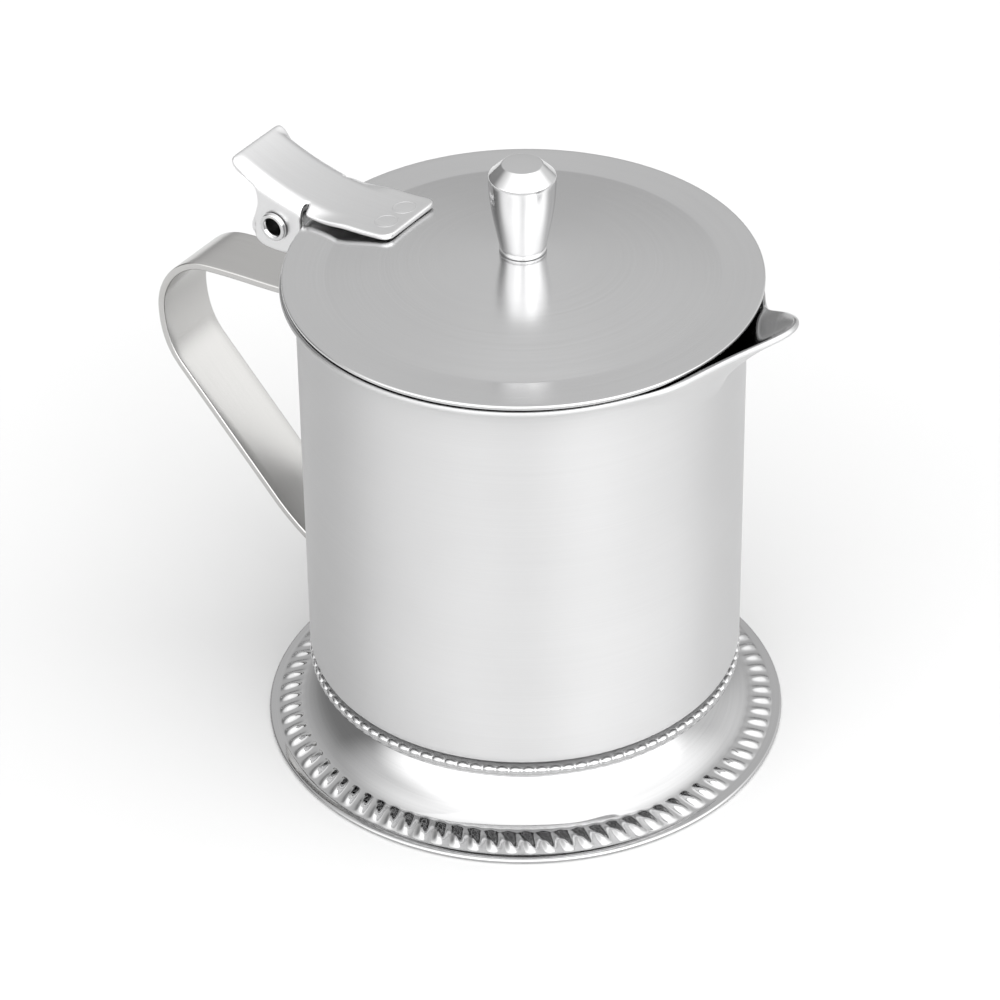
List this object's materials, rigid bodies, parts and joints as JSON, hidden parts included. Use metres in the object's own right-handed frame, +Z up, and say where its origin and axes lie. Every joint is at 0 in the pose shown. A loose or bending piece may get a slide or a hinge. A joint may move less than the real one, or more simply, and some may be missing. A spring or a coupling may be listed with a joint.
{
  "type": "gravy boat",
  "caption": "Straight-sided lidded sauce server in stainless sheet, with a pulled spout, a flared fluted foot, a strap handle and a thumb-operated hinged lid with a turned knob.",
  "frame": {"origin": "centre of the foot's resting rim, on the plane of the table", "axes": "+Z up along the axis of the cup, +X towards the tip of the spout, handle and hinge towards -X, hinge axis along Y"},
  "size_m": [0.12, 0.087, 0.1058],
  "materials": {
    "satin_steel": "fine satin brushing round the cup",
    "mirror_steel": "mirror-polished pressed sheet",
    "lid_steel": "polished sheet with fine circular brushing",
    "strap_steel": "semi-bright sheet, lengthwise grain",
    "turned_steel": "lathe-turned and polished bar",
    "hinge_steel": "plain stainless"
  },
  "bodies": {
    "cup": {"cup_body": "satin_steel", "pedestal_base": "mirror_steel", "handle": "strap_steel", "hinge_bracket": "hinge_steel"},
    "lid_assembly": {"lid": "lid_steel", "thumb_lever": "strap_steel", "hinge_rivet": "hinge_steel", "knob": "turned_steel", "knob_screw": "hinge_steel"}
  },
  "joints": [
    {"name": "lid_hinge", "type": "hinge", "parent": "cup", "child": "lid_assembly", "pos_m": [-0.0434, 0, 0.0834], "axis": [0, -1, 0], "range_deg": [0, 105]}
  ]
}
